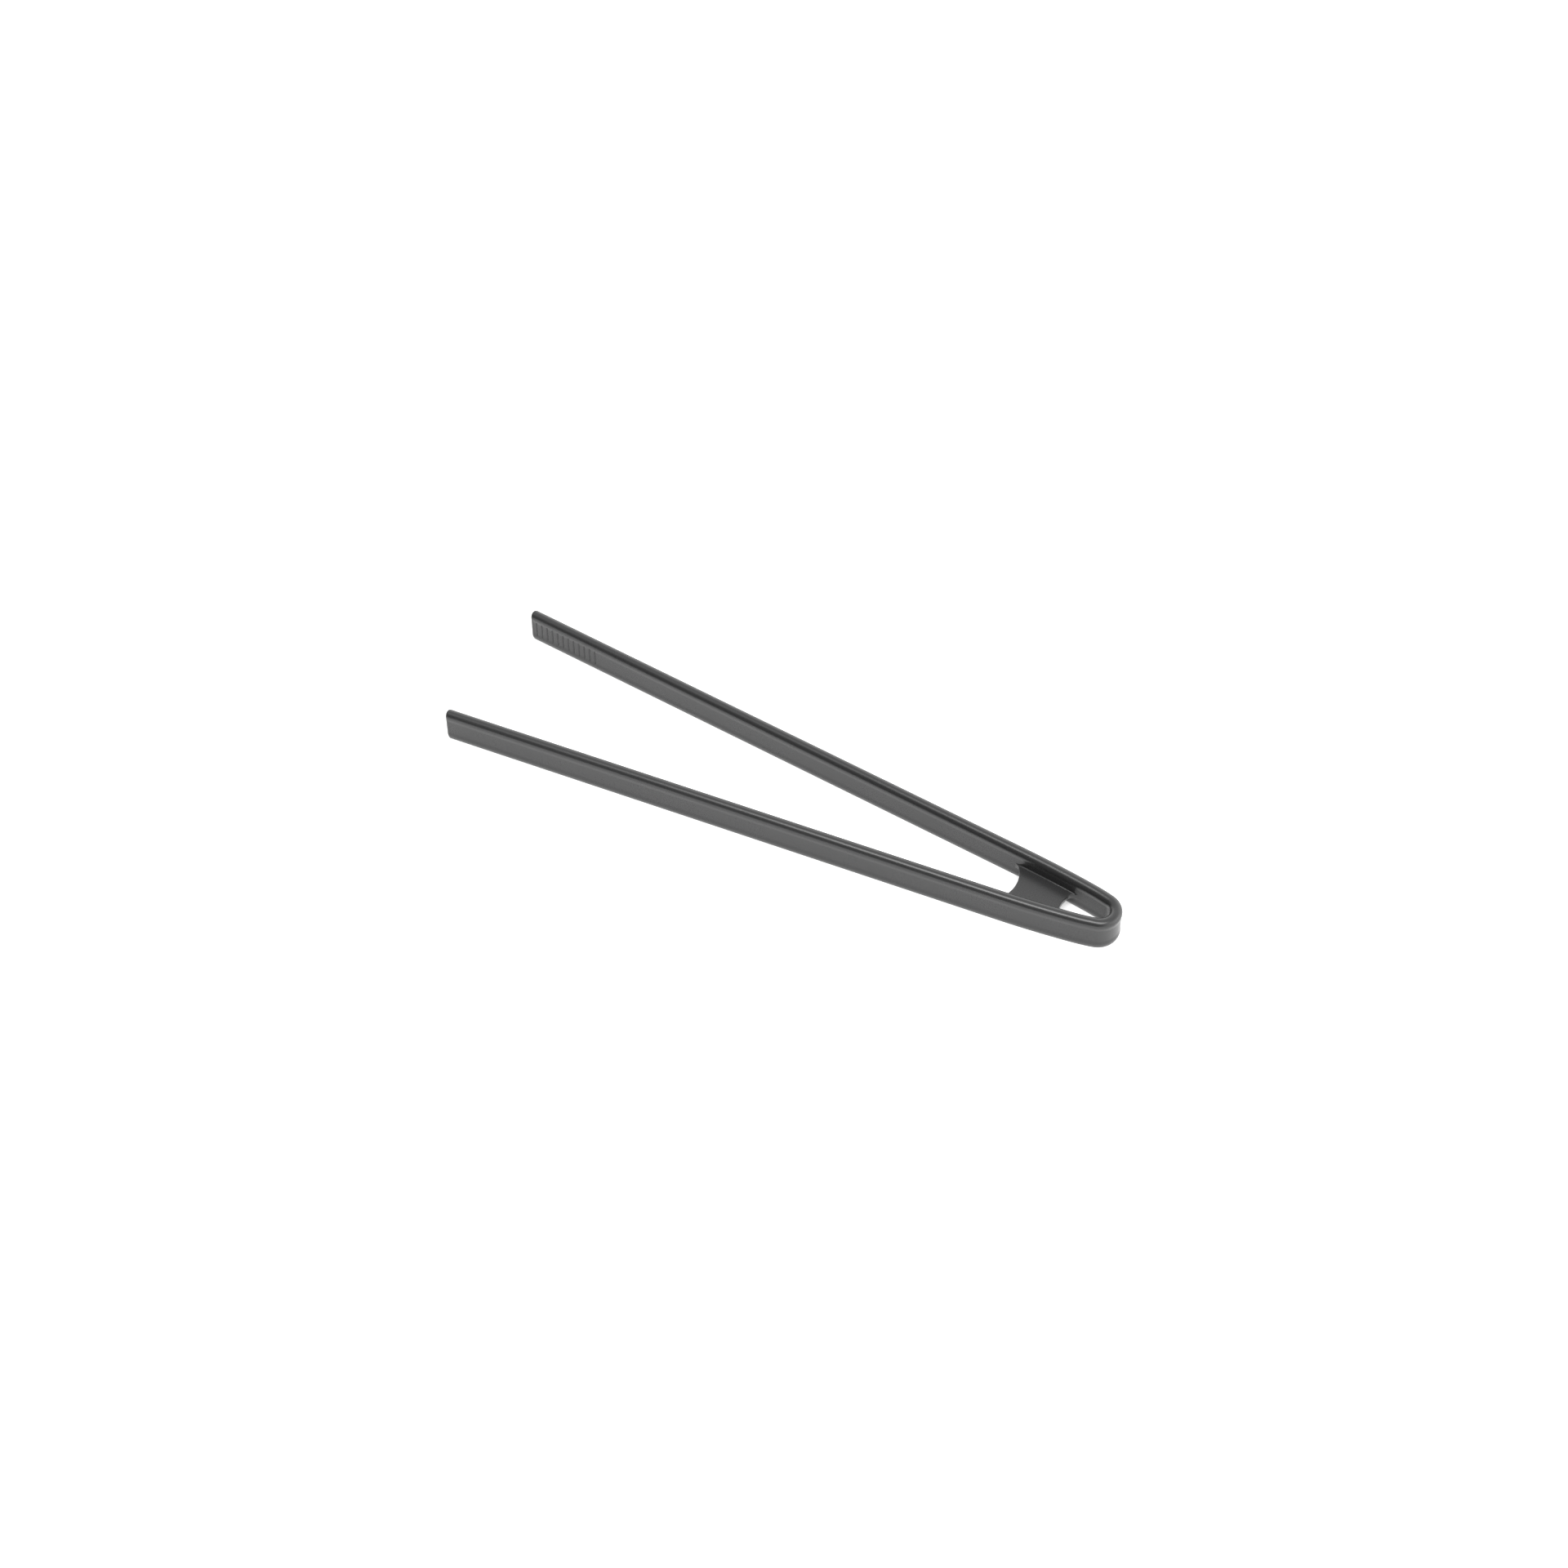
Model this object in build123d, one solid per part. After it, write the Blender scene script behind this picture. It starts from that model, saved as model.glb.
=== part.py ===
from build123d import *
import os
from math import cos, radians, sin

# Sprung kitchen tongs moulded in one piece: a narrow band stood on edge, bent round a bow at +X,
# with two straight arms that run to the grip ends at -X. The tongs lie on their side on z = 0.
# The moulding is divided where it bends, so that each stretch is a solid of its own.

# Overall sizes, millimetres
LENGTH = 290.0
BAND_HEIGHT = 14.3
BAND_WIDTH = 4.9

# Cross-section: a wall between a fully rounded upper bead and a lower one that tapers to a flat foot
WALL_WIDTH = 4.5
UPPER_BEAD, LOWER_BEAD = 2.8, 2.4
STEP_HEIGHT = 1.3
UPPER_CORNER = 2.4
FOOT_WIDTH = 3.9
TAPER_HEIGHT = 1.07
TAPER_RADIUS = 3.8

# Plan of the band: outer radii of the bow, the shoulder and the easing curve, each with the
# half angle between its far end and the middle line
BOW_RADIUS, BOW_END = 9.3, 15.0
SHOULDER_RADIUS, SHOULDER_END = 82.0, 9.0
EASING_RADIUS, ARM_ANGLE = 460.0, 5.0

# Distances from the bow end to the places where an arm bends, and to where the jaw starts
ROOT_BEND = 67.0
MIDDLE_BEND = 127.0
JAW_START = 200.0

# Web plate across the bow, under mid height: where its two hollow edges cross the middle line
WEB_TOP = 7.2
WEB_THICKNESS = 2.3
WEB_OPEN_EDGE, WEB_OPEN_RADIUS = 44.9, 15.3
WEB_BOW_EDGE, WEB_BOW_RADIUS = 25.1, 15.5
WEB_ARRIS = 0.3

# Grip grooves across the inner face of each jaw
GROOVE_COUNT = 12
GROOVE_PITCH = 2.79
GROOVE_WIDTH = 0.9
GROOVE_DEPTH = 0.35
GROOVE_HEIGHT = 7.8
GROOVE_MIDDLE = (LOWER_BEAD + BAND_HEIGHT - UPPER_BEAD) / 2
FIRST_GROOVE = 3.4

# Rounding of the tips: seen from the side, and of the upright edges
TIP_UPPER_CORNER, TIP_LOWER_CORNER = 0.9, 1.9
TIP_EDGE = 1.4

REAR, FRONT = 1, -1


def outward(angle):
    """Direction square to a stretch of the rear arm that spreads by this angle."""
    return Vector(sin(radians(angle)), cos(radians(angle)), 0)


def forward(angle):
    """Direction along such a stretch, away from the bow."""
    return Vector(-cos(radians(angle)), sin(radians(angle)), 0)


def curve_centres():
    """Centres of the bow, shoulder and easing curves, and the point where the straight arm starts."""
    bow = Vector(LENGTH / 2 - BOW_RADIUS, 0, 0)
    shoulder = bow - outward(BOW_END) * (SHOULDER_RADIUS - BOW_RADIUS)
    easing = shoulder - outward(SHOULDER_END) * (EASING_RADIUS - SHOULDER_RADIUS)
    arm_start = easing + outward(ARM_ANGLE) * (EASING_RADIUS - BAND_WIDTH / 2)
    return bow, shoulder, easing, arm_start


BOW_CENTRE, SHOULDER_CENTRE, EASING_CENTRE, ARM_START = curve_centres()


def spine_point(from_bow):
    """Point on the middle of the straight rear arm, at this distance from the bow end."""
    along_x = ARM_START.X - (LENGTH / 2 - from_bow)
    return ARM_START + forward(ARM_ANGLE) * (along_x / cos(radians(ARM_ANGLE)))


def section_at(point, angle):
    """Cross-section of the band, centred on a point and square to the stretch there."""
    half_wall, half_bead = WALL_WIDTH / 2, BAND_WIDTH / 2
    side = [
        (FOOT_WIDTH / 2, 0),
        (half_bead, TAPER_HEIGHT),
        (half_bead, LOWER_BEAD),
        (half_wall, LOWER_BEAD + STEP_HEIGHT),
        (half_wall, BAND_HEIGHT - UPPER_BEAD - STEP_HEIGHT),
        (half_bead, BAND_HEIGHT - UPPER_BEAD),
        (half_bead, BAND_HEIGHT),
    ]
    outline = side + [(-x, z) for x, z in reversed(side)]
    face = make_face(Polyline(*outline, close=True))
    corners = face.vertices().sort_by(Axis.Y)
    face = fillet(corners[-2:], UPPER_CORNER)
    corners = face.vertices().sort_by(Axis.Y)
    face = fillet(corners[2:4], TAPER_RADIUS)
    return Plane(origin=point, x_dir=outward(angle), z_dir=-forward(angle)) * face


def curved_stretch(centre, radius, start_angle, end_angle):
    """Stretch of band along an arc of the rear side, given by its outer radius and end angles."""
    start = centre + outward(start_angle) * (radius - BAND_WIDTH / 2)
    axis = Axis((centre.X, centre.Y, 0), (0, 0, 1))
    return revolve(section_at(start, start_angle), axis, revolution_arc=start_angle - end_angle)


def straight_stretch(start, end):
    """Stretch of straight band between two points of the rear arm."""
    length = (end - start).length
    return extrude(section_at(start, ARM_ANGLE), amount=length, dir=forward(ARM_ANGLE))


def on_side(shape, side):
    """The shape as made for the rear arm, or its mirror image for the front arm."""
    return shape if side == REAR else mirror(shape, about=Plane.XZ)


def bow_loop():
    """Bow, both shoulders and the roots of both arms, as one U-shaped band."""
    half = curved_stretch(BOW_CENTRE, BOW_RADIUS, 90, BOW_END)
    half += curved_stretch(SHOULDER_CENTRE, SHOULDER_RADIUS, BOW_END, SHOULDER_END)
    half += curved_stretch(EASING_CENTRE, EASING_RADIUS, SHOULDER_END, ARM_ANGLE)
    half += straight_stretch(ARM_START, spine_point(ROOT_BEND))
    return half + on_side(half, FRONT)


def web_plate(loop):
    """Plate that ties the two sides of the bow together, hollowed at both ends."""
    reach = WEB_OPEN_EDGE + WEB_OPEN_RADIUS / 2
    start = WEB_BOW_EDGE - WEB_BOW_RADIUS / 2
    middle = WEB_TOP - WEB_THICKNESS / 2
    plate = Pos(LENGTH / 2 - (start + reach) / 2, 0, middle) * Box(reach - start, BOW_RADIUS * 3, WEB_THICKNESS)
    open_x = LENGTH / 2 - WEB_OPEN_EDGE - WEB_OPEN_RADIUS
    bow_x = LENGTH / 2 - WEB_BOW_EDGE + WEB_BOW_RADIUS
    plate -= Pos(open_x, 0, middle) * Cylinder(WEB_OPEN_RADIUS, BAND_HEIGHT)
    plate -= Pos(bow_x, 0, middle) * Cylinder(WEB_BOW_RADIUS, BAND_HEIGHT)
    between_walls = min((plate - loop).solids(), key=lambda solid: abs(solid.center().Y))
    hollow_edges = [
        edge
        for edge in between_walls.edges().filter_by(GeomType.CIRCLE)
        if edge.radius < EASING_RADIUS / 10
    ]
    return between_walls.fillet(WEB_ARRIS, hollow_edges)


def spring_stretch(side):
    """Stretch of one arm between its two bending places."""
    return on_side(straight_stretch(spine_point(ROOT_BEND), spine_point(MIDDLE_BEND)), side)


def handle(side):
    """Stretch of one arm that the fingers press."""
    return on_side(straight_stretch(spine_point(MIDDLE_BEND), spine_point(JAW_START)), side)


def jaw(side):
    """Gripping end of one arm, with grooves across its inner face and rounded corners."""
    flat_half = BAND_WIDTH / 2 - TIP_EDGE
    lean = radians(ARM_ANGLE)
    tip = spine_point(LENGTH - flat_half * sin(lean) - TIP_EDGE * (1 - cos(lean)))
    start = spine_point(JAW_START)
    length = (tip - start).length
    bar = straight_stretch(start, tip)
    tip_plane = Plane(origin=tip, x_dir=-forward(ARM_ANGLE), z_dir=(0, 0, 1))
    for number in range(GROOVE_COUNT):
        from_tip = FIRST_GROOVE + number * GROOVE_PITCH
        cutter = Box(GROOVE_WIDTH, 2 * GROOVE_DEPTH, GROOVE_HEIGHT)
        inner_face = -WALL_WIDTH / 2
        bar -= tip_plane * Pos(from_tip, inner_face, GROOVE_MIDDLE) * cutter
    side_view = Plane(origin=tip, x_dir=-forward(ARM_ANGLE), z_dir=-outward(ARM_ANGLE))
    side_outline = Pos(length, BAND_HEIGHT / 2) * Rectangle(2 * length, BAND_HEIGHT)
    side_outline = fillet(side_outline.vertices().sort_by(Axis.Y)[-2:], TIP_UPPER_CORNER)
    side_outline = fillet(side_outline.vertices().sort_by(Axis.Y)[:2], TIP_LOWER_CORNER)
    bar &= extrude(side_view * side_outline, amount=BAND_WIDTH, both=True)
    plan_outline = RectangleRounded(2 * length, BAND_WIDTH, TIP_EDGE)
    bar &= extrude(tip_plane * Pos(length, 0) * plan_outline, amount=BAND_HEIGHT)
    return on_side(bar, side)


os.makedirs("parts", exist_ok=True)
loop = bow_loop()
parts = {
    "bow_loop": loop,
    "web_plate": web_plate(loop),
    "front_spring_stretch": spring_stretch(FRONT),
    "rear_spring_stretch": spring_stretch(REAR),
    "front_handle": handle(FRONT),
    "rear_handle": handle(REAR),
    "front_jaw": jaw(FRONT),
    "rear_jaw": jaw(REAR),
}
for name, shape in parts.items():
    export_step(shape, f"parts/{name}.step")
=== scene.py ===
from math import cos, pi, radians, sin, sqrt

import bmesh
import bpy
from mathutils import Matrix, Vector


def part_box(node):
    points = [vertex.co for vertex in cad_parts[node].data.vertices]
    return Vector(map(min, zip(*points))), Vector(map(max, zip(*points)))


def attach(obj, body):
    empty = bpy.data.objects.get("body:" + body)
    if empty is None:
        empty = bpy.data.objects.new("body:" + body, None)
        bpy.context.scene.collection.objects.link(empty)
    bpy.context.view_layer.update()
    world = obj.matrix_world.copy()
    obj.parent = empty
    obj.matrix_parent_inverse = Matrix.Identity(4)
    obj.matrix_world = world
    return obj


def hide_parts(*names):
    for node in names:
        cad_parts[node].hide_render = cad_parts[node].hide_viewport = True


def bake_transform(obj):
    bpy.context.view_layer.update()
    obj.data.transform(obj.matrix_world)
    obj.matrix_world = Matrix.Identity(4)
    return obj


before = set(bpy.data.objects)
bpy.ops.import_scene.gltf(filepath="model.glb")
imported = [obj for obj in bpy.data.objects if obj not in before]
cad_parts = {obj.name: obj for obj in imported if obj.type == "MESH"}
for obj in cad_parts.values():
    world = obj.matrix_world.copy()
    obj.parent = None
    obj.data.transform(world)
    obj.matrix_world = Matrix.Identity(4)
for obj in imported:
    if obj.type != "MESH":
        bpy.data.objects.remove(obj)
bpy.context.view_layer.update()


# BOW. The tongs are one moulding of dark grey nylon: a band stood on edge and bent into a narrow
# loop. This piece is the closed end of it. The band is a plain wall with a bead along each edge, a
# little proud of the wall. The upper bead is fully round, and the lower one tapers to a flat foot.
MM = 0.001
BAND_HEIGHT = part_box("bow_loop")[1].z
BOW_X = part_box("bow_loop")[1].x
BAND_WIDTH = 4.9 * MM
WALL_WIDTH = 4.5 * MM
UPPER_BEAD, LOWER_BEAD = 2.8 * MM, 2.4 * MM
STEP_HEIGHT = 1.3 * MM
FOOT_WIDTH = 3.9 * MM
TAPER_HEIGHT = 1.07 * MM

# How far each pair of corners of the section is rounded back, and in how many facets
UPPER_CORNER, UPPER_FACETS = 2.4 * MM, 14
STEP_CORNER, STEP_FACETS = 0.38 * MM, 4
TAPER_CORNER, TAPER_FACETS = 1.0 * MM, 6
FOOT_CORNER, FOOT_FACETS = 0.04 * MM, 2

# Outer radius of each curve of the band, its far end's angle with the middle line, and its steps
BOW_RADIUS, BOW_END, BOW_STEPS = 9.3 * MM, 15.0, 36
SHOULDER_RADIUS, SHOULDER_END, SHOULDER_STEPS = 82.0 * MM, 9.0, 6
EASING_RADIUS, ARM_ANGLE, EASING_STEPS = 460.0 * MM, 5.0, 10
BOW_PIECE_END = 49.0 * MM

MERGE_DISTANCE = 1e-7
SMOOTH_BELOW = 40.0
OTHER_SIDE = Vector((1, -1, 1))


def outward(angle):
    """Direction square to a stretch of the rear arm that spreads by this angle."""
    return Vector((sin(radians(angle)), cos(radians(angle)), 0))


def forward(angle):
    """Direction along such a stretch, away from the bow."""
    return Vector((-cos(radians(angle)), sin(radians(angle)), 0))


bow_centre = Vector((BOW_X - BOW_RADIUS, 0, 0))
shoulder_centre = bow_centre - outward(BOW_END) * (SHOULDER_RADIUS - BOW_RADIUS)
easing_centre = shoulder_centre - outward(SHOULDER_END) * (EASING_RADIUS - SHOULDER_RADIUS)
arm_start = easing_centre + outward(ARM_ANGLE) * (EASING_RADIUS - BAND_WIDTH / 2)


def arm_point(from_bow):
    """Point on the middle of the straight rear arm, at this distance from the bow end."""
    along_x = arm_start.x - (BOW_X - from_bow)
    return arm_start + forward(ARM_ANGLE) * (along_x / cos(radians(ARM_ANGLE)))


def round_corners(mesh, corners, size, facets):
    """Rounds corners of a flat outline."""
    bmesh.ops.bevel(
        mesh,
        geom=corners,
        offset=size,
        segments=facets,
        profile=0.5,
        affect="VERTICES",
        material=-1,
    )


def band_section(mesh, point):
    """Face with the outline of the band's section, square to the rear arm at a point on it."""
    half_bead, half_wall = BAND_WIDTH / 2, WALL_WIDTH / 2
    side = [
        (FOOT_WIDTH / 2, 0),
        (half_bead, TAPER_HEIGHT),
        (half_bead, LOWER_BEAD),
        (half_wall, LOWER_BEAD + STEP_HEIGHT),
        (half_wall, BAND_HEIGHT - UPPER_BEAD - STEP_HEIGHT),
        (half_bead, BAND_HEIGHT - UPPER_BEAD),
        (half_bead, BAND_HEIGHT),
    ]
    outline = side + [(-across, up) for across, up in reversed(side)]
    corners = [
        mesh.verts.new(point + outward(ARM_ANGLE) * across + Vector((0, 0, up)))
        for across, up in outline
    ]
    mesh.faces.new(corners)
    by_height = sorted(corners, key=lambda corner: corner.co.z)
    foot, taper, steps, upper = by_height[:2], by_height[2:4], by_height[4:-2], by_height[-2:]
    round_corners(mesh, upper, UPPER_CORNER, UPPER_FACETS)
    round_corners(mesh, steps, STEP_CORNER, STEP_FACETS)
    round_corners(mesh, taper, TAPER_CORNER, TAPER_FACETS)
    round_corners(mesh, foot, FOOT_CORNER, FOOT_FACETS)
    return mesh.faces[:]


def push_along(mesh, cap, step):
    """Extrudes the end cap of a band by a straight step and gives the new cap."""
    made = bmesh.ops.extrude_face_region(mesh, geom=cap)["geom"]
    moved = [part for part in made if isinstance(part, bmesh.types.BMVert)]
    bmesh.ops.translate(mesh, vec=step, verts=moved)
    return [part for part in made if isinstance(part, bmesh.types.BMFace)]


def turn_round(mesh, cap, centre, angle, steps):
    """Spins the end cap of a band about an upright line and gives the new cap."""
    made = bmesh.ops.spin(
        mesh, geom=cap, cent=centre, axis=(0, 0, 1), angle=angle, steps=steps, use_merge=False
    )["geom_last"]
    return [part for part in made if isinstance(part, bmesh.types.BMFace)]


def finish_piece(mesh, name):
    """Turns a mesh into an object at the origin, smooth except across its sharper edges."""
    bmesh.ops.remove_doubles(mesh, verts=mesh.verts, dist=MERGE_DISTANCE)
    bmesh.ops.recalc_face_normals(mesh, faces=mesh.faces)
    for face in mesh.faces:
        face.smooth = True
    for edge in mesh.edges:
        closed = len(edge.link_faces) == 2
        edge.smooth = closed and edge.calc_face_angle() < radians(SMOOTH_BELOW)
    data = bpy.data.meshes.new(name)
    mesh.to_mesh(data)
    mesh.free()
    piece = bpy.data.objects.new(name, data)
    bpy.context.scene.collection.objects.link(piece)
    return piece


class Wire:
    """A shader socket that takes part in arithmetic: each operator adds one Math node."""

    def __init__(self, shading, socket):
        self.shading, self.socket = shading, socket

    def math(self, operation, first, second):
        settings, inputs = {"operation": operation}, {0: first, 1: second}
        return self.shading.node("ShaderNodeMath", settings, inputs)

    def __add__(self, other):
        return self.math("ADD", self, other)

    def __radd__(self, other):
        return self.math("ADD", other, self)

    def __sub__(self, other):
        return self.math("SUBTRACT", self, other)

    def __rsub__(self, other):
        return self.math("SUBTRACT", other, self)

    def __mul__(self, other):
        return self.math("MULTIPLY", self, other)

    def __rmul__(self, other):
        return self.math("MULTIPLY", other, self)


class Shading:
    """A node tree that is written as calls: node type, settings, then inputs."""

    def __init__(self, tree):
        self.tree = tree
        tree.nodes.clear()

    def node(self, kind, settings=None, inputs=None, output=0):
        made = self.tree.nodes.new(kind)
        for name, value in (settings or {}).items():
            setattr(made, name, value)
        for name, value in (inputs or {}).items():
            if isinstance(value, Wire):
                self.tree.links.new(value.socket, made.inputs[name])
            else:
                made.inputs[name].default_value = value
        return Wire(self, made.outputs[output]) if made.outputs else None


NYLON_DARK = (0.024, 0.024, 0.0243, 1)
NYLON_LIGHT = (0.032, 0.032, 0.0323, 1)
NYLON_IOR = 1.53
FLOW_STRETCH = (0.12, 1, 1)
FLOW_SCALE, FLOW_DETAIL = 420, 4
RUBBED_SCALE, RUBBED_DETAIL = 60, 3
GRAIN_SCALE, GRAIN_DETAIL = 4200, 2
FLOW_TONE, GRAIN_TONE = 0.6, 0.4
LEAST_ROUGHNESS, RUBBED_ROUGHNESS, GRAIN_ROUGHNESS = 0.22, 0.06, 0.06
RELIEF_STRENGTH, RELIEF_DEPTH, FLOW_RELIEF = 0.1, 0.06 * MM, 0.5


def moulded_nylon():
    """Glass-filled nylon from a fine-grained mould: satin, with faint flow marks and rubbed spots."""
    material = bpy.data.materials.new("moulded_nylon")
    material.use_nodes = True
    shading = Shading(material.node_tree)
    place = shading.node("ShaderNodeTexCoord", output="Object")
    along_flow = shading.node("ShaderNodeMapping", {}, {"Vector": place, "Scale": FLOW_STRETCH})

    def noise(vector, scale, detail):
        inputs = {"Vector": vector, "Scale": scale, "Detail": detail}
        return shading.node("ShaderNodeTexNoise", {}, inputs)

    flow = noise(along_flow, FLOW_SCALE, FLOW_DETAIL)
    rubbed = noise(place, RUBBED_SCALE, RUBBED_DETAIL)
    grain = noise(place, GRAIN_SCALE, GRAIN_DETAIL)
    colour = shading.node(
        "ShaderNodeMix",
        {"data_type": "RGBA"},
        {"Factor": flow * FLOW_TONE + grain * GRAIN_TONE, "A": NYLON_DARK, "B": NYLON_LIGHT},
        output="Result",
    )
    relief = shading.node(
        "ShaderNodeBump",
        {},
        {
            "Height": grain + flow * FLOW_RELIEF,
            "Strength": RELIEF_STRENGTH,
            "Distance": RELIEF_DEPTH,
        },
    )
    roughness = LEAST_ROUGHNESS + rubbed * RUBBED_ROUGHNESS + grain * GRAIN_ROUGHNESS
    surface = shading.node(
        "ShaderNodeBsdfPrincipled",
        {},
        {"Base Color": colour, "Roughness": roughness, "Normal": relief, "IOR": NYLON_IOR},
    )
    shading.node("ShaderNodeOutputMaterial", {}, {"Surface": surface})
    return material


nylon = moulded_nylon()

bow_mesh = bmesh.new()
start = arm_point(BOW_PIECE_END)
end_cap = band_section(bow_mesh, start)
end_cap = push_along(bow_mesh, end_cap, arm_start - start)
rear_curves = [
    (easing_centre, SHOULDER_END - ARM_ANGLE, EASING_STEPS),
    (shoulder_centre, BOW_END - SHOULDER_END, SHOULDER_STEPS),
    (bow_centre, 90 - BOW_END, BOW_STEPS),
]
for centre, turn, steps in rear_curves:
    end_cap = turn_round(bow_mesh, end_cap, centre, -radians(turn), steps)
for centre, turn, steps in reversed(rear_curves):
    end_cap = turn_round(bow_mesh, end_cap, centre * OTHER_SIDE, -radians(turn), steps)
push_along(bow_mesh, end_cap, forward(ARM_ANGLE) * OTHER_SIDE * (start - arm_start).length)
bow = finish_piece(bow_mesh, "bow_moulding")
bow.data.materials.append(nylon)
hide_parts("bow_loop")
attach(bow, "bow")


# WEB PLATE. A thin plate, a little under half height, ties the two sides of the bow together, so
# that the arms bend beyond it. It is moulded with the band, is hollowed in a curve at both ends, and
# spreads in small fillets where it runs into the walls. The gap towards the bow is the hanging eye.
WEB_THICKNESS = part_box("web_plate")[1].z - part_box("web_plate")[0].z
WEB_MIDDLE = (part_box("web_plate")[1].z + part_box("web_plate")[0].z) / 2
WEB_OPEN_X, WEB_OPEN_RADIUS = BOW_X - 44.9 * MM, 15.3 * MM
WEB_BOW_X, WEB_BOW_RADIUS = BOW_X - 25.1 * MM, 15.5 * MM
WEB_LENGTH = WEB_BOW_X - WEB_OPEN_X
WEB_ARRIS, WEB_ARRIS_FACETS = 0.28 * MM, 4
WEB_FILLET = 0.45 * MM
WEB_OPEN_FLARE, WEB_BOW_FLARE = 1.3 * MM, 2.7 * MM
WALL_OVERLAP = 0.15 * MM
WEB_ROWS = 64
WEB_CUTS = 12
SETTLING_ROUNDS = 8


def wall_gap(x):
    """Distance from the middle line to the inner wall of the band, at a place along the web."""
    radius = EASING_RADIUS - (BAND_WIDTH + WALL_WIDTH) / 2
    return easing_centre.y + sqrt(radius ** 2 - (x - easing_centre.x) ** 2)


def rounding(distance, radius):
    """How far a rounded corner or fillet stands off at a distance from the face it runs into."""
    if distance >= radius:
        return 0.0
    return radius - sqrt(radius ** 2 - (radius - max(distance, 0.0)) ** 2)


def web_place(flat):
    """Place on the web of a point of a flat blank, whose y is the share of the way to the walls.

    The walls lean, so the places along and across depend on each other and are settled in rounds.
    """
    share = flat.y
    slide = min(max((flat.x - WEB_ARRIS) / (WEB_LENGTH - 2 * WEB_ARRIS), 0), 1)
    from_open, from_bow = min(flat.x, WEB_ARRIS), min(WEB_LENGTH - flat.x, WEB_ARRIS)
    x = (WEB_OPEN_X + WEB_BOW_X) / 2
    for _ in range(SETTLING_ROUNDS):
        y = share * (wall_gap(x) + WALL_OVERLAP)
        distance = wall_gap(x) - abs(y)
        open_edge = WEB_OPEN_X - WEB_OPEN_RADIUS + sqrt(WEB_OPEN_RADIUS ** 2 - y ** 2)
        open_edge -= rounding(distance, WEB_OPEN_FLARE)
        bow_edge = WEB_BOW_X + WEB_BOW_RADIUS - sqrt(WEB_BOW_RADIUS ** 2 - y ** 2)
        bow_edge += rounding(distance, WEB_BOW_FLARE)
        x = (open_edge + from_open) * (1 - slide) + (bow_edge - from_bow) * slide
    thicken = 1 + 2 * rounding(distance, WEB_FILLET) / WEB_THICKNESS
    return Vector((x, y, WEB_MIDDLE + flat.z * thicken))


web_mesh = bmesh.new()
half_web = WEB_THICKNESS / 2
blank_corners = [(0, -half_web), (WEB_LENGTH, -half_web), (WEB_LENGTH, half_web), (0, half_web)]
blank = web_mesh.faces.new([web_mesh.verts.new((x, -1, z)) for x, z in blank_corners])
round_corners(web_mesh, blank.verts[:], WEB_ARRIS, WEB_ARRIS_FACETS)
long_edges = [edge for edge in web_mesh.edges if edge.calc_length() > WEB_LENGTH / 2]
bmesh.ops.subdivide_edges(web_mesh, edges=long_edges, cuts=WEB_CUTS)
row_cap = web_mesh.faces[:]
shares = [sin(pi / 2 * (2 * row / WEB_ROWS - 1)) for row in range(WEB_ROWS + 1)]
for last, share in zip(shares, shares[1:]):
    row_cap = push_along(web_mesh, row_cap, Vector((0, share - last, 0)))
for vertex in web_mesh.verts:
    vertex.co = web_place(vertex.co)
web = finish_piece(web_mesh, "web_moulding")
web.data.materials.append(nylon)
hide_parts("web_plate")
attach(web, "bow")


# SPRUNG STRETCHES. Between the web and the place where the fingers press, each arm is the same
# plain band. On the tongs it bends there, and straightens again by itself when it is let go;
# this piece is built straight, as it rests.
SPRING_PIECE_END = 97.0 * MM
ROOT_BEND_SPAN = (49.5 * MM, 84.5 * MM)
SPRING_STEPS = 24


def on_side(mesh, side):
    """Leaves a rear piece as it is, or turns it into its mirror image for the front arm."""
    if side == "front":
        bmesh.ops.scale(mesh, vec=OTHER_SIDE, verts=mesh.verts)


def side_point(from_bow, side):
    """Point on the middle of either arm."""
    point = arm_point(from_bow)
    return point * OTHER_SIDE if side == "front" else point


for side in ("front", "rear"):
    spring_mesh = bmesh.new()
    root, end = arm_point(BOW_PIECE_END), arm_point(SPRING_PIECE_END)
    end_cap = band_section(spring_mesh, root)
    for _ in range(SPRING_STEPS):
        end_cap = push_along(spring_mesh, end_cap, (end - root) / SPRING_STEPS)
    on_side(spring_mesh, side)
    spring = finish_piece(spring_mesh, f"{side}_spring_moulding")
    spring.data.materials.append(nylon)
    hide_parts(f"{side}_spring_stretch")
    bend_start, bend_end = (side_point(place, side) for place in ROOT_BEND_SPAN)
    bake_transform(spring)


# ARMS AND JAWS. The rest of each arm is the part that the fingers press and, at its end, the jaw.
# The jaw's corners are rounded, and twelve shallow grooves are moulded across its inner face, so
# that it holds what is slippery.
MIDDLE_BEND_SPAN = (98.0 * MM, 156.0 * MM)
HANDLE_END, HANDLE_STEPS = 250.0 * MM, 40
HANDLE_END_X = arm_point(HANDLE_END).x
TIP_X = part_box("front_jaw")[0].x
TIP_LENGTH, TIP_STEPS = 2.0 * MM, 12
TIP_UPPER_CORNER, TIP_LOWER_CORNER = 0.9 * MM, 1.9 * MM
TIP_EDGE = 1.4 * MM
WALL_HEIGHT = BAND_HEIGHT - UPPER_BEAD - LOWER_BEAD
WALL_MIDDLE = (LOWER_BEAD + BAND_HEIGHT - UPPER_BEAD) / 2
FIRST_GROOVE = 3.4 * MM
GROOVE_COUNT = 12
GROOVE_PITCH = 2.79 * MM
GROOVE_WIDTH, GROOVE_DEPTH = 1.0 * MM, 0.3 * MM
GROOVE_HEIGHT, GROOVE_RUN_OUT = 8.2 * MM, 0.6 * MM
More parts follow.
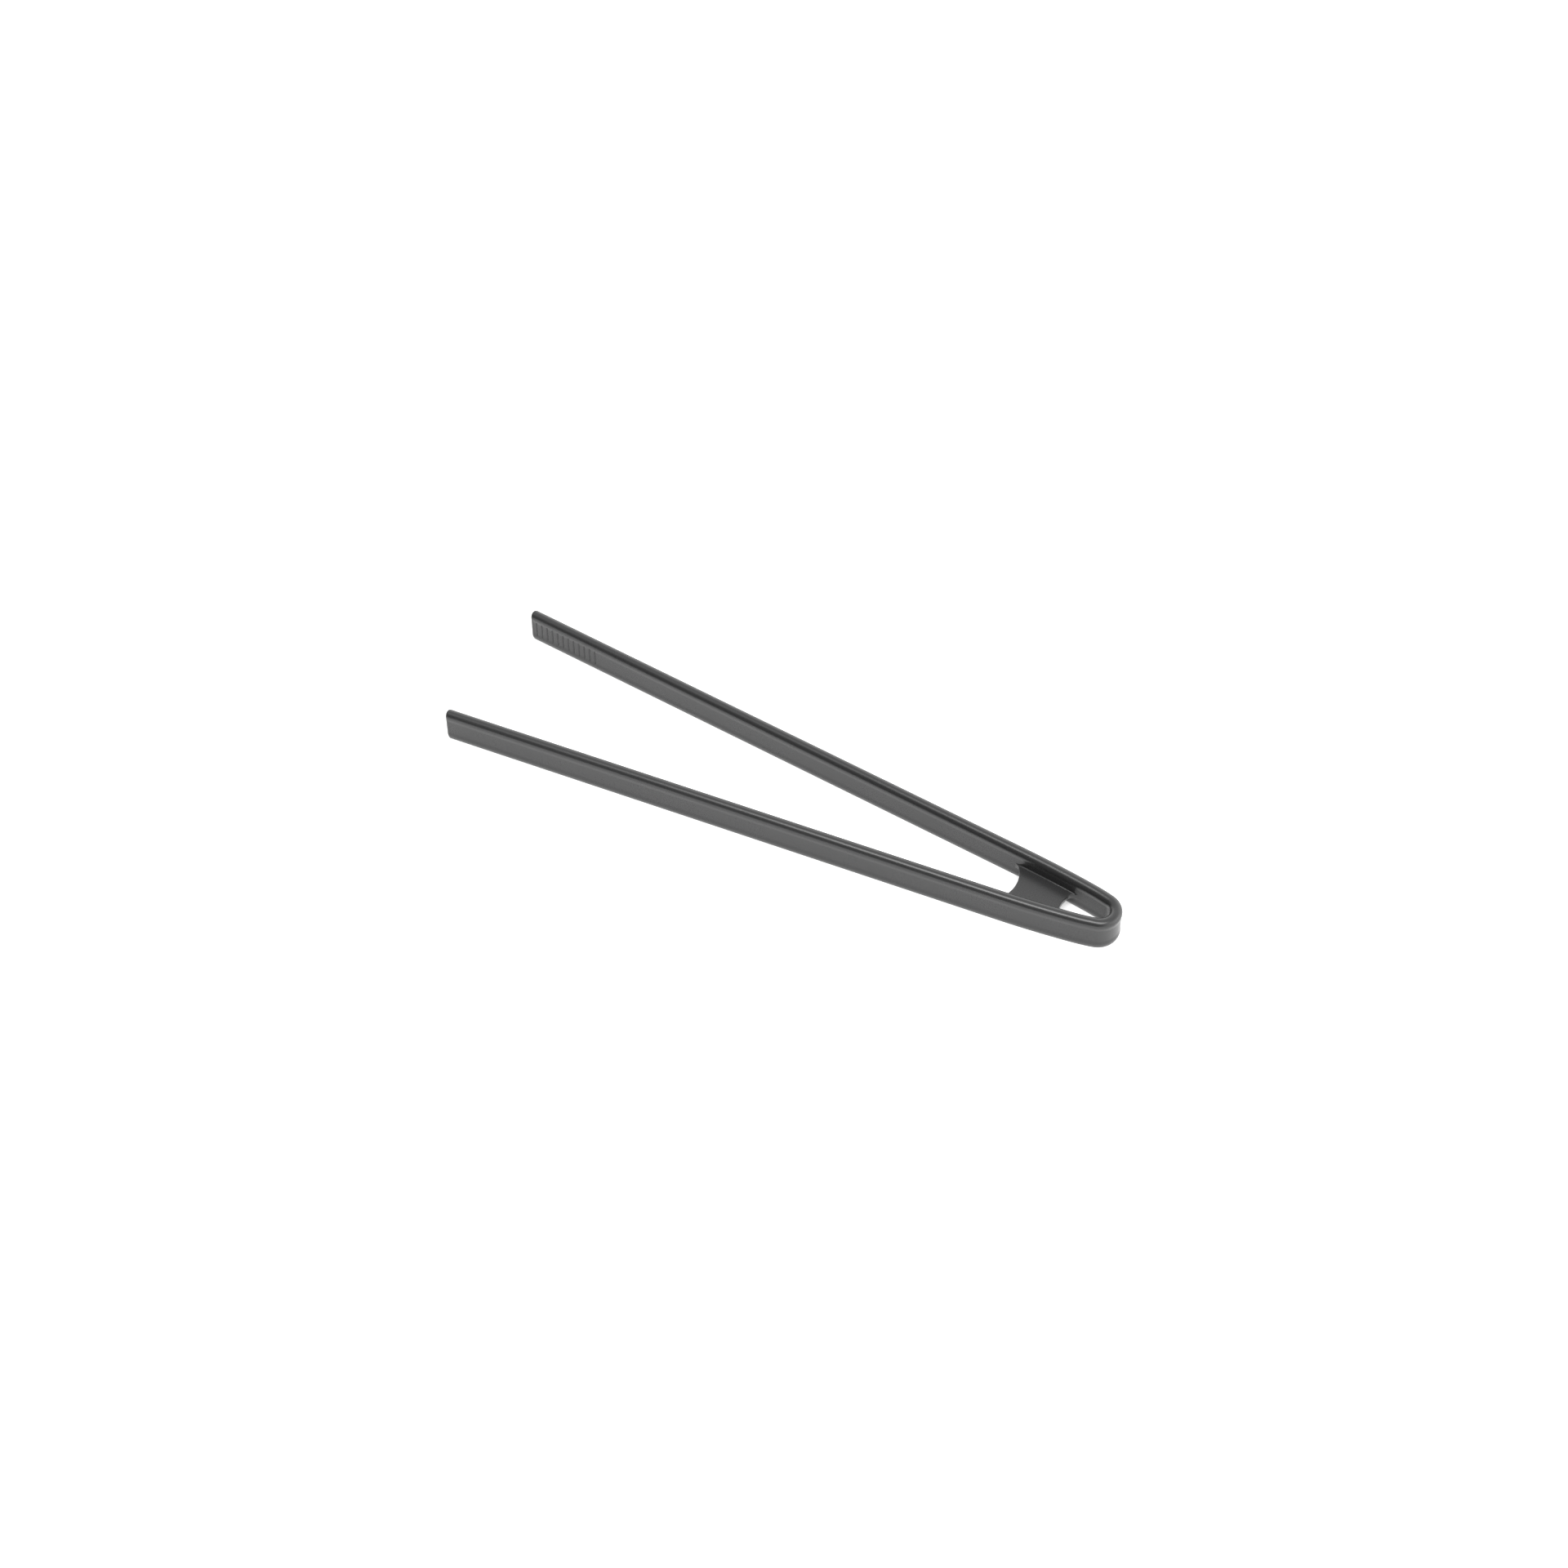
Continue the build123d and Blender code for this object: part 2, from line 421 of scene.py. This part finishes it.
GROOVE_CUTS = (-1.35, -1, -0.5, 0, 0.5, 1, 1.35)


def round_tip(mesh, cap, tip):
    """Carries the band on to its tip, rounds its corners and brings its wall out to the beads."""
    last_place = TIP_LENGTH
    for step in range(1, TIP_STEPS + 1):
        place = TIP_LENGTH * (1 - sin(pi / 2 * step / TIP_STEPS))
        cap = push_along(mesh, cap, forward(ARM_ANGLE) * (last_place - place))
        last_place = place
    for vertex in mesh.verts:
        place = (tip - vertex.co).dot(forward(ARM_ANGLE))
        if place < TIP_LENGTH:
            from_bead = (WALL_HEIGHT / 2 - abs(vertex.co.z - WALL_MIDDLE)) / STEP_HEIGHT
            on_wall = min(max(from_bead, 0), 1)
            level = 1 + (BAND_WIDTH / WALL_WIDTH - 1) * on_wall * (1 - place / TIP_LENGTH)
            width = level * (1 - 2 * rounding(place, TIP_EDGE) / BAND_WIDTH)
            foot = rounding(place, TIP_LOWER_CORNER)
            height = BAND_HEIGHT - rounding(place, TIP_UPPER_CORNER) - foot
            across = (vertex.co - tip).dot(outward(ARM_ANGLE))
            vertex.co += outward(ARM_ANGLE) * across * (width - 1)
            vertex.co.z = foot + vertex.co.z * height / BAND_HEIGHT


def sink_grooves(mesh, tip):
    """Cuts the jaw into cells at the grooves, then sinks its inner face there in soft hollows."""
    along, across, upward = forward(ARM_ANGLE), outward(ARM_ANGLE), Vector((0, 0, 1))
    cuts = []
    for number in range(GROOVE_COUNT):
        middle = FIRST_GROOVE + number * GROOVE_PITCH
        for share in GROOVE_CUTS:
            cuts.append((tip - along * (middle + share * GROOVE_WIDTH / 2), along))
    for height in (GROOVE_HEIGHT / 2, GROOVE_HEIGHT / 2 - GROOVE_RUN_OUT):
        cuts.append((upward * (WALL_MIDDLE - height), upward))
        cuts.append((upward * (WALL_MIDDLE + height), upward))
    for place, normal in cuts:
        faces = [face for face in mesh.faces if face.calc_center_median().x < HANDLE_END_X]
        around = list({part for face in faces for part in (*face.verts, *face.edges)})
        bmesh.ops.bisect_plane(
            mesh, geom=around + faces, dist=MERGE_DISTANCE, plane_co=place, plane_no=normal
        )
    for vertex in mesh.verts:
        offset = vertex.co - tip
        number = (-offset.dot(along) - FIRST_GROOVE) / GROOVE_PITCH
        nearest = min(max(round(number), 0), GROOVE_COUNT - 1)
        from_side = 1 - abs(number - nearest) * GROOVE_PITCH / (GROOVE_WIDTH / 2)
        from_end = (GROOVE_HEIGHT / 2 - abs(vertex.co.z - WALL_MIDDLE)) / GROOVE_RUN_OUT
        if offset.dot(across) < 0 and from_side > 0 and from_end > 0:
            vertex.co += across * GROOVE_DEPTH * min(from_side, 1) * min(from_end, 1)


# The tip's rounded corner reaches furthest where it faces along the middle line.
flat_half = BAND_WIDTH / 2 - TIP_EDGE
lean = radians(ARM_ANGLE)
tip = arm_point(BOW_X - TIP_X - flat_half * sin(lean) - TIP_EDGE * (1 - cos(lean)))
jaw_root = tip - forward(ARM_ANGLE) * TIP_LENGTH
for side in ("front", "rear"):
    arm_mesh = bmesh.new()
    root, end = arm_point(SPRING_PIECE_END), arm_point(HANDLE_END)
    end_cap = band_section(arm_mesh, root)
    for _ in range(HANDLE_STEPS):
        end_cap = push_along(arm_mesh, end_cap, (end - root) / HANDLE_STEPS)
    end_cap = push_along(arm_mesh, end_cap, jaw_root - end)
    round_tip(arm_mesh, end_cap, tip)
    sink_grooves(arm_mesh, tip)
    on_side(arm_mesh, side)
    arm = finish_piece(arm_mesh, f"{side}_arm_moulding")
    arm.data.materials.append(nylon)
    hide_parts(f"{side}_handle", f"{side}_jaw")
    bend_start, bend_end = (side_point(place, side) for place in MIDDLE_BEND_SPAN)
    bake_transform(arm)


# STUDIO. A wide white floor that glows a little, under a pale sky that is dim in front and brightest
# behind and towards the bow's end, with one wide lamp overhead. The camera looks down on the tongs
# from the front, on the bow's side.
FLOOR_SIZE = 30.0
FLOOR_WHITE, FLOOR_ROUGHNESS = (0.8, 0.8, 0.8, 1), 0.9
FLOOR_GLOW = 0.46
PURE_WHITE = (1, 1, 1, 1)


def lit_floor():
    """Even matt white that also lets light through from below, as a light table does."""
    material = bpy.data.materials.new("floor_white")
    material.use_nodes = True
    shading = Shading(material.node_tree)
    look = {
        "Base Color": FLOOR_WHITE,
        "Roughness": FLOOR_ROUGHNESS,
        "Emission Color": PURE_WHITE,
        "Emission Strength": FLOOR_GLOW,
    }
    surface = shading.node("ShaderNodeBsdfPrincipled", {}, look)
    shading.node("ShaderNodeOutputMaterial", {}, {"Surface": surface})
    return material


floor_mesh = bmesh.new()
bmesh.ops.create_grid(floor_mesh, x_segments=1, y_segments=1, size=FLOOR_SIZE / 2)
floor = finish_piece(floor_mesh, "floor")
floor.data.materials.append(lit_floor())

# The sky's levels, and the parts of a direction over which one level passes into the next
FRONT_LIGHT, HIGH_LIGHT, REAR_LIGHT, SIDE_LIGHT = 0.06, 0.86, 2.0, 1.6
FRONT_TO_TOP, TOP_TO_REAR, TO_BOW_SIDE = (-0.8, -0.1), (0.5, 0.9), (0.6, 0.85)

sky = bpy.data.worlds.new("studio")
bpy.context.scene.world = sky
sky.use_nodes = True
shading = Shading(sky.node_tree)


def passage(part, span, first, last):
    """Level of light that eases from one value to another as part of a direction crosses a span."""
    inputs = {
        "Value": part,
        "From Min": span[0],
        "From Max": span[1],
        "To Min": first,
        "To Max": last,
    }
    return shading.node("ShaderNodeMapRange", {"interpolation_type": "SMOOTHSTEP"}, inputs)


direction = shading.node("ShaderNodeTexCoord")
upright = shading.node(
    "ShaderNodeVectorMath", {"operation": "MULTIPLY"}, {0: direction, 1: (0, 1, 1)}
)
upright = shading.node("ShaderNodeVectorMath", {"operation": "NORMALIZE"}, {0: upright})
to_rear = shading.node("ShaderNodeSeparateXYZ", {}, {0: upright}, output="Y")
to_bow = shading.node("ShaderNodeSeparateXYZ", {}, {0: direction}, output="X")
front_to_top = passage(to_rear, FRONT_TO_TOP, FRONT_LIGHT, HIGH_LIGHT)
top_to_rear = passage(to_rear, TOP_TO_REAR, 0.0, REAR_LIGHT - HIGH_LIGHT)
bow_side = passage(to_bow, TO_BOW_SIDE, 0.0, SIDE_LIGHT)
# What is seen of the sky itself is plain white.
seen = shading.node("ShaderNodeLightPath")
level = (front_to_top + top_to_rear + bow_side) * (1 - seen) + seen
background = shading.node("ShaderNodeBackground", {}, {"Color": PURE_WHITE, "Strength": level})
shading.node("ShaderNodeOutputWorld", {}, {"Surface": background})

LAMP_LENGTH, LAMP_WIDTH = 1.35, 0.6
LAMP_POWER = 20
LAMP_PLACE = (0.28, -0.42, 1.4)

lamp = bpy.data.lights.new("overhead", "AREA")
lamp.shape = "RECTANGLE"
lamp.size, lamp.size_y = LAMP_LENGTH, LAMP_WIDTH
lamp.energy = LAMP_POWER
lamp_object = bpy.data.objects.new("overhead", lamp)
lamp_object.location = LAMP_PLACE
bpy.context.scene.collection.objects.link(lamp_object)

CAMERA_AZIMUTH, CAMERA_ELEVATION = 28.76, 47.77
CAMERA_DISTANCE = 1.2
CAMERA_TARGET = Vector((-0.00912, 0.00892, 0))
CAMERA_LENS, SENSOR_WIDTH = 67.1, 36.0
NEAREST_SEEN, FURTHEST_SEEN = 0.01, 100

azimuth, elevation = radians(CAMERA_AZIMUTH), radians(CAMERA_ELEVATION)
back = Vector((sin(azimuth) * cos(elevation), -cos(azimuth) * cos(elevation), sin(elevation)))
lens = bpy.data.cameras.new("camera")
lens.lens, lens.sensor_width = CAMERA_LENS, SENSOR_WIDTH
lens.clip_start, lens.clip_end = NEAREST_SEEN, FURTHEST_SEEN
camera = bpy.data.objects.new("camera", lens)
camera.location = CAMERA_TARGET + back * CAMERA_DISTANCE
camera.rotation_euler = (-back).to_track_quat("-Z", "Y").to_euler()
bpy.context.scene.collection.objects.link(camera)
bpy.context.scene.camera = camera
bpy.context.scene.view_settings.view_transform = "Standard"
